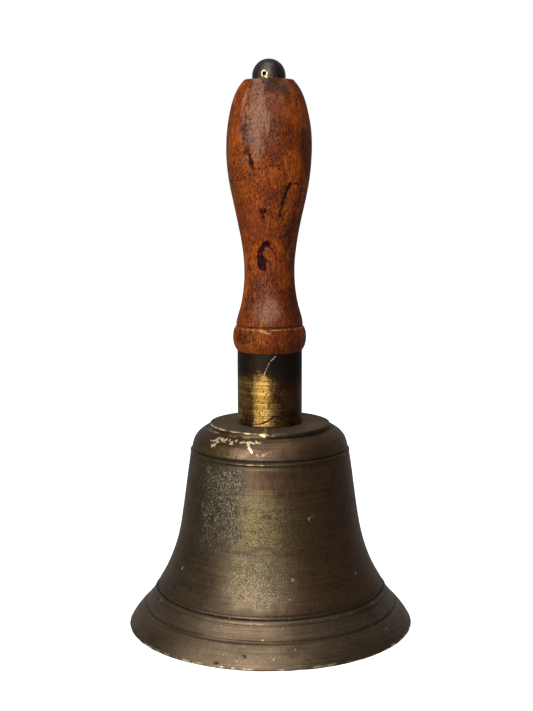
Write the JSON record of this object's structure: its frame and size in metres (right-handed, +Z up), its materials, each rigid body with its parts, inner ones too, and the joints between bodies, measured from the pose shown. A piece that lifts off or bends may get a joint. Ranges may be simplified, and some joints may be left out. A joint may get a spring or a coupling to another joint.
{
  "type": "fire alarm hand bell",
  "caption": "Hand bell of cast brass with a turned wooden handle, a brass collar, a domed top nut and an iron clapper that swings inside; rung by hand as a fire alarm.",
  "frame": {"origin": "centre of the mouth, in the plane of the lip that the bell stands on", "axes": "+Z up the bell's axis towards the handle; -Y is the front in the reference view; the clapper's pin lies along Y and the clapper swings along X"},
  "size_m": [0.14, 0.14, 0.2746],
  "materials": {
    "bell_brass": "aged cast brass with a dark brown patina, worn bright on edges",
    "collar_brass": "tarnished brass tube, rubbed bright at the front",
    "nut_brass": "nearly black patina with a worn spanner hole",
    "washer_brass": "dull turned brass",
    "varnished_wood": "orange-brown varnish, worn, with dark stains",
    "rod_steel": "oiled plain steel",
    "hardware_steel": "dulled steel with light rust",
    "split_pin_steel": "drawn wire",
    "yoke_steel": "forged, dark scale",
    "forged_steel": "forged, dark scale",
    "ball_iron": "cast iron, rusted, polished where it strikes",
    "oiled_leather": "dark oiled leather"
  },
  "bodies": {
    "bell": {"bell_cup": "bell_brass", "collar_tube": "collar_brass", "wooden_handle": "varnished_wood", "dome_nut": "nut_brass", "tie_rod": "rod_steel", "handle_washer": "washer_brass", "leather_washer": "oiled_leather", "crown_washer": "hardware_steel", "crown_nut": "hardware_steel", "clapper_yoke": "yoke_steel", "pivot_pin": "hardware_steel", "pin_washer": "hardware_steel", "split_pin": "split_pin_steel"},
    "clapper": {"clapper_rod": "forged_steel", "clapper_ball": "ball_iron", "clapper_nut": "hardware_steel"}
  },
  "joints": [
    {"name": "clapper_swing", "type": "hinge", "parent": "bell", "child": "clapper", "pos_m": [0, 0, 0.073], "axis": [0, 1, 0], "range_deg": [-36, 36]}
  ]
}
